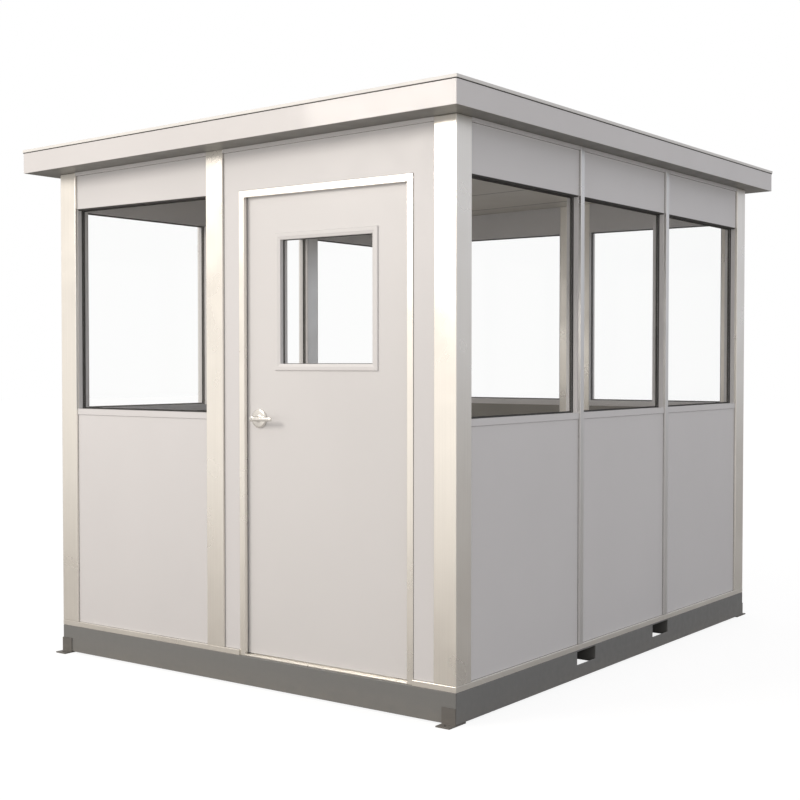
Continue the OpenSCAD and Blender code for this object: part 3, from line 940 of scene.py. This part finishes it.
thresholdSettings = {
    "ribPitch": 0.009,
    "ribCount": 7,
    "rib": (0.0034, 0.0018),  # wide and high
    "firstRib": 0.010,
    "screwRow": 0.0055,
    "screwEnd": 0.06,
}

latchSettings = {
    "plate": (0.028, 0.203),  # wide and high
    "proud": 0.0014,
    "bolt": (0.016, 0.028),
    "boltProud": 0.0030,
    "strikeHigh": 0.12,
    "strikeRoot": 0.001,
    "screwEnd": 0.012,
}


def makeLiteTrim():
    shape = bmesh.new()
    width, depth = liteSettings["width"], liteSettings["depth"]
    (low, high), (backLow, backHigh) = sorted(islandBoxes("door_lite_trim"), key=lambda box: box[0].y)
    for boxLow, boxHigh, root, rise in ((low, high, high.y, -depth), (backLow, backHigh, backLow.y, depth)):
        addRing(shape, boxLow, boxHigh, 1, [
            (0.0, root), (0.0, root + rise * 0.5), (0.0012, root + rise * 0.82), (0.004, root + rise),
            (width * 0.55, root + rise * 0.97), (width * 0.72, root + rise * 0.7),
            (width - 0.002, root + rise * 0.45), (width, root + rise * 0.3), (width, root)])
    finishShape(shape, "lite_trim_profile", doorPaint, "door", "door_lite_trim")
    glassLow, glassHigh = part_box("door_lite_glass")
    openLow = Vector((low.x + width, 0, low.z + width))
    openHigh = Vector((high.x - width, 0, high.z - width))
    paths = [faceRectangle(openLow, openHigh, 1, y, liteSettings["gasketInset"])
             for y in (glassLow.y, glassHigh.y)]
    addBead("lite_gaskets", paths, liteSettings["gasket"], rubber, "door", closed=True)
    inset = width * liteSettings["screwInset"]
    middle = (backLow + backHigh) / 2
    places = [(Vector((x, backHigh.y + 0.0002, z)), inwards)
              for x in (backLow.x + inset, middle.x, backHigh.x - inset)
              for z in (backLow.z + inset, middle.z, backHigh.z - inset) if (x, z) != (middle.x, middle.z)]
    addFasteners("lite_screws", places, "small", "door")


def makeDoorSeals():
    settings = sealSettings
    radius = settings["weatherstrip"]
    stop = frameLow.y + settings["stopSet"] + radius * 0.95
    reach = settings["stripIn"]
    left, rightEnd, top = sillLow.x - reach, sillHigh.x + reach, leafHigh.z + settings["stripOver"]
    path = [Vector((x, stop, z)) for x, z in ((left, sillHigh.z), (left, top), (rightEnd, top),
                                              (rightEnd, sillHigh.z))]
    addBead("door_weatherstrip", [path], radius, rubber)
    shape = bmesh.new()
    near, far = leafLow.x + settings["sweepEnd"], leafHigh.x - settings["sweepEnd"]
    addBox(shape, (near, leafHigh.y - settings["finFront"], leafLow.z - settings["finLow"]),
           (far, leafHigh.y - settings["finBack"], leafLow.z + settings["finHigh"]), 0.0005, 1)
    addBox(shape, (near, leafHigh.y - 0.0005, leafLow.z - settings["sweepLow"]),
           (far, leafHigh.y + settings["sweepOut"], leafLow.z + settings["sweepHigh"]), 0.0008)
    finishShape(shape, "door_sweep", endTrim, "door")


def makeThreshold():
    settings = thresholdSettings
    middle = (sillLow.x + sillHigh.x) / 2
    wide, high = settings["rib"]
    mesh = rowMesh("threshold_ribs", (middle, sillLow.y + settings["firstRib"], sillHigh.z),
                   (0, settings["ribPitch"], 0), settings["ribCount"],
                   (sillHigh.x - sillLow.x - 0.004, wide, high), endTrim)
    finishPiece(mesh, "threshold_ribs", endTrim)
    places = [(Vector((x, sillLow.y + settings["screwRow"], sillHigh.z)), up)
              for x in (sillLow.x + settings["screwEnd"], middle, sillHigh.x - settings["screwEnd"])]
    addFasteners("threshold_screws", places, "flat")


# a plate on an edge that faces left or right, centred at the latch
def addEdgePlate(shape, low, high, size, edge):
    middle = (leafLow.y + leafHigh.y) / 2
    wide, tall = size
    addBox(shape, (low, middle - wide / 2, handleMiddle.z - tall / 2),
           (high, middle + wide / 2, handleMiddle.z + tall / 2), edge)


def makeLatch():
    settings = latchSettings
    plateWide, plateHigh = settings["plate"]
    shape = bmesh.new()
    addEdgePlate(shape, leafLow.x - settings["proud"], leafLow.x + 0.002, settings["plate"], 0.0008)
    addEdgePlate(shape, leafLow.x - settings["boltProud"], leafLow.x, settings["bolt"], 0.0012)
    finishShape(shape, "latch_plate", hingeMetal, "door")
    shape = bmesh.new()
    rabbet = leafLow.x - sealSettings["leafGap"]
    addEdgePlate(shape, rabbet - settings["strikeRoot"], rabbet + settings["proud"],
                 (plateWide, settings["strikeHigh"]), 0.0006)
    finishShape(shape, "strike_plate", hingeMetal)
    middle = (leafLow.y + leafHigh.y) / 2
    reach = plateHigh / 2 - settings["screwEnd"]
    screws = [(Vector((leafLow.x - settings["proud"], middle, handleMiddle.z + sign * reach)), -right)
              for sign in (-1, 1)]
    addFasteners("latch_screws", screws, "flat", "door")


# lever handle, roses and hinges

roseLow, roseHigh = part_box("handle_roses")
leverLow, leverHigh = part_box("lever_handle")
handleMiddle = (roseLow + roseHigh) / 2

handleSettings = {
    "roseRim": 0.0035,
    "collar": 0.0165,
    "bore": 0.0092,
    "hub": 0.0125,
    "hubLong": 0.046,
    "spindle": 0.0088,
    "leverRoot": 0.0105,
    "leverThick": 0.0065,
    "leverSag": 0.0024,
    "cylinder": 0.0066,
    "keyway": (0.0012, 0.007),  # wide and high
}

# how far along the lever each section is, and its height and thickness against the root's
leverSections = [(-0.0042, 1.0, 1.0), (0.1017, 1.0, 1.0), (0.2966, 0.98, 0.97), (0.5254, 0.95, 0.94),
                 (0.7458, 0.93, 0.91), (0.9153, 0.92, 0.89), (0.9703, 0.86, 0.8), (0.9932, 0.66, 0.6),
                 (1.0, 0.3, 0.3)]

hingeSettings = {
    "barrel": 0.007,
    "screwIn": 0.012,  # from the door half's free edge
    "screwSpread": 0.010,
    "plateFace": 0.0031,
    "capAt": 0.0549,  # from the hinge's middle
    "jambScrewIn": 0.026,
    "jambScrewSpread": 0.040,
}


def makeRoses():
    shape = bmesh.new()
    settings = handleSettings
    radius, thick = (roseHigh.x - roseLow.x) / 2, leafLow.y - roseLow.y
    rim, collar, bore = settings["roseRim"], settings["collar"], settings["bore"]
    outline = [(bore, 0.0), (radius, 0.0), (radius, thick * 0.45), (radius - rim * 0.35, thick * 0.72),
               (radius - rim, thick * 0.84), (radius - rim * 2.2, thick * 0.9),
               (collar + 0.003, thick * 0.96), (collar, thick), (0.0135, thick + 0.0012),
               (bore, thick + 0.0012), (bore, 0.0)]
    for towards, root in ((-inwards, leafLow.y), (inwards, leafHigh.y)):
        addLathe(shape, outline, Vector((handleMiddle.x, root, handleMiddle.z)), towards, 72)
    finishShape(shape, "turned_roses", handleMetal, "door", "handle_roses", smooth=35)
    places = [(Vector((handleMiddle.x, leafHigh.y + thick * 0.9, handleMiddle.z + height)), inwards)
              for height in (radius * 0.74, -radius * 0.74)]
    addFasteners("rose_screws", places, "flat", "door")


# rounded sections that taper and dip towards the tip
def addLeverArm(shape, faceY, sign):
    settings = handleSettings
    length = leverHigh.x - handleMiddle.x
    sides = 20
    squareness = 0.7  # 1 is an ellipse, and less is nearer to a rectangle
    rings = []
    for share, high, thick in leverSections:
        middleY = faceY + sign * (settings["leverThick"] + settings["leverSag"] * share * share)
        halfHigh, halfThick = settings["leverRoot"] * high, settings["leverThick"] * thick
        ring = []
        for step in range(sides):
            turn = 2 * math.pi * step / sides
            outY, outZ = [math.copysign(abs(part) ** squareness, part)
                          for part in (math.cos(turn), math.sin(turn))]
            ring.append(shape.verts.new((handleMiddle.x + share * length, middleY + halfThick * outY,
                                         handleMiddle.z + halfHigh * outZ)))
        rings.append(ring)
    for first, second in zip(rings, rings[1:]):
        joinRings(shape, first, second)
    shape.faces.new(rings[0])
    shape.faces.new(list(reversed(rings[-1])))


def makeLever():
    settings = handleSettings
    shape = bmesh.new()
    reach = (leverHigh.y - leverLow.y) / 2
    hub, long = settings["hub"], settings["hubLong"]
    outline = [(0.0, 0.0), (hub - 0.003, 0.0), (hub - 0.0008, 0.0009), (hub, 0.003), (hub, long - 0.006),
               (hub + 0.0008, long - 0.004), (hub + 0.0008, long - 0.001), (hub, long),
               (settings["spindle"], long), (settings["spindle"], reach), (0.0, reach)]
    for sign in (-1, 1):
        face = handleMiddle.y + sign * reach
        addLathe(shape, outline, Vector((handleMiddle.x, face, handleMiddle.z)), inwards * -sign, 40)
        addLeverArm(shape, face, -sign)
    finishShape(shape, "turned_levers", handleMetal, "handle", "lever_handle", smooth=35)
    shape = bmesh.new()
    radius = settings["cylinder"]
    wide, high = settings["keyway"]
    centre = Vector((handleMiddle.x, handleMiddle.y - reach + 0.0003, handleMiddle.z))
    addLathe(shape, [(0.0, 0.0), (radius, 0.0), (radius, 0.0010), (radius - 0.0008, 0.0018), (0.0, 0.0018)],
             centre, -inwards, 28)
    addBox(shape, centre + Vector((-wide / 2, -0.0021, -high / 2)),
           centre + Vector((wide / 2, -0.0012, high / 2)))
    finishShape(shape, "lever_cylinder", hingeMetal, "handle", smooth=35)


def makeHinges():
    settings = hingeSettings
    jambScrews, leafScrews = [], []
    caps = bmesh.new()
    capOutline = [(0.0, 0.0), (0.0062, 0.0), (0.0062, 0.0012), (0.0048, 0.0030), (0.002, 0.0039),
                  (0.0, 0.0041)]
    for low, high in islandBoxes("hinge_door_leaves"):
        height = (low.z + high.z) / 2
        for sign in (-1, 1):
            leafScrews.append((Vector((low.x + settings["screwIn"], leafHigh.y + settings["plateFace"],
                                       height + sign * settings["screwSpread"])), inwards))
            addLathe(caps, capOutline, Vector((high.x - settings["barrel"], high.y - settings["barrel"],
                                               height + sign * settings["capAt"])), up * sign, 24)
    jambX, jambY = leafHigh.x + sealSettings["leafGap"], leafLow.y + settings["jambScrewIn"]
    for low, high in islandBoxes("hinge_jamb_leaves"):
        for step in (-1, 0, 1):
            height = (low.z + high.z) / 2 + step * settings["jambScrewSpread"]
            jambScrews.append((Vector((jambX, jambY, height)), -right))
    finishShape(caps, "hinge_caps", hingeMetal, smooth=35)
    addFasteners("hinge_leaf_screws", leafScrews, "flat", "door")
    addFasteners("hinge_jamb_screws", jambScrews, "flat")


makeLiteTrim()
makeDoorSeals()
makeThreshold()
makeLatch()
makeRoses()
makeLever()
makeHinges()
print("door fittings made")


# roof, floor and base details

roofSettings = {
    "seamPitch": 0.52,
    "seamCount": 7,
    "seam": (0.016, 0.008),  # wide and high
    "seamEnd": 0.05,
    "screwEnd": 0.03,
    "ceilingPitch": 0.61,
    "ceilingLine": 0.0014,
}

treadSettings = {
    "pitch": 0.046,
    "margin": 0.05,
    "bar": (0.034, 0.010, 0.0016),
}

baseSettings = {
    "weld": 0.0026,
    "weldIn": 0.0035,
    "weldFoot": 0.012,
    "weldStep": 0.030,
    "clipWeld": 0.00182,
    "clipWeldIn": 0.070,
    "clipWeldHeights": (0.006, 0.040, 0.075),
    "trackScrewHeight": 0.1560,
    "trackScrewPitch": 0.4,
}


def makeRoofSeams():
    low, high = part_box("roof_cap")
    pitch, count = roofSettings["seamPitch"], roofSettings["seamCount"]
    wide, tall = roofSettings["seam"]
    first = -pitch * (count - 1) / 2
    mesh = rowMesh("roof_seams", (0.0, first, 0.0), (0.0, pitch, 0.0), count,
                   (high.x - low.x - 2 * roofSettings["seamEnd"], wide, tall), roofPaint)
    for vert in mesh.vertices:
        vert.co.z += high.z + roofFall * (vert.co.x - high.x) + tall / 2 - 0.0005
    finishPiece(mesh, "roof_seams", roofPaint)
    places = [(Vector((x, first + pitch * (step + 0.5), high.z + roofFall * (x - high.x))), up)
              for step in range(count - 1)
              for x in (low.x + roofSettings["screwEnd"], high.x - roofSettings["screwEnd"])]
    addFasteners("roof_screws", places, "roof")


def makeCeilingLines():
    paths = [[Vector((x, step * roofSettings["ceilingPitch"], soffitAt(x)))
              for x in (innerLow.x + 0.002, innerHigh.x - 0.002)] for step in range(-2, 3)]
    addBead("ceiling_joints", paths, roofSettings["ceilingLine"], sealant, sides=6)


def makeTread():
    pitch = treadSettings["pitch"]
    long, wide, high = treadSettings["bar"]
    columns, rows = [int((innerHigh[axis] - innerLow[axis] - treadSettings["margin"]) / pitch)
                     for axis in (0, 1)]
    middle = (innerLow + innerHigh) / 2
    mesh = runTree(treadTree, bpy.data.meshes.new("tread"), "floor_tread", {
        "Width": (columns - 1) * pitch, "Length": (rows - 1) * pitch, "Columns": columns, "Rows": rows,
        "Pitch": pitch, "Bar length": long, "Bar width": wide, "Bar height": high,
        "Middle": (middle.x, middle.y, innerHigh.z - 0.0001), "Material": floorMetal})
    smoothRound(mesh, 50)
    finishPiece(mesh, "floor_tread", floorMetal)


def makeBaseWelds():
    settings = baseSettings
    cornerPaths, clipPaths = [], []
    for signX in (-1, 1):
        for signY in (-1, 1):
            x, y = signX * (wallHigh.x - settings["weldIn"]), signY * (wallHigh.y - settings["weldIn"])
            cornerPaths.append([Vector((x, y, settings["weldFoot"] + settings["weldStep"] * step))
                                for step in range(5)])
            clipX, clipY = signX * (wallHigh.x - settings["clipWeldIn"]), signY * (wallHigh.y + 0.0005)
            clipPaths.append([Vector((clipX, clipY, height)) for height in settings["clipWeldHeights"]])
    addBead("base_corner_welds", cornerPaths, settings["weld"], basePaint)
    addBead("clip_welds", clipPaths, settings["clipWeld"], basePaint)


def makeTrackScrews():
    pitch, height = baseSettings["trackScrewPitch"], baseSettings["trackScrewHeight"]
    places = [(Vector((wallX, pitch * (step - 3), height)), facing)
              for wallX, facing in ((innerLow.x, right), (innerHigh.x, -right)) for step in range(7)]
    places += [(Vector((pitch * (step - 2.5), innerHigh.y, height)), -inwards) for step in range(6)]
    addFasteners("track_screws", places, "flat")


makeRoofSeams()
makeCeilingLines()
makeTread()
makeBaseWelds()
makeTrackScrews()
print("roof, floor and base details made")
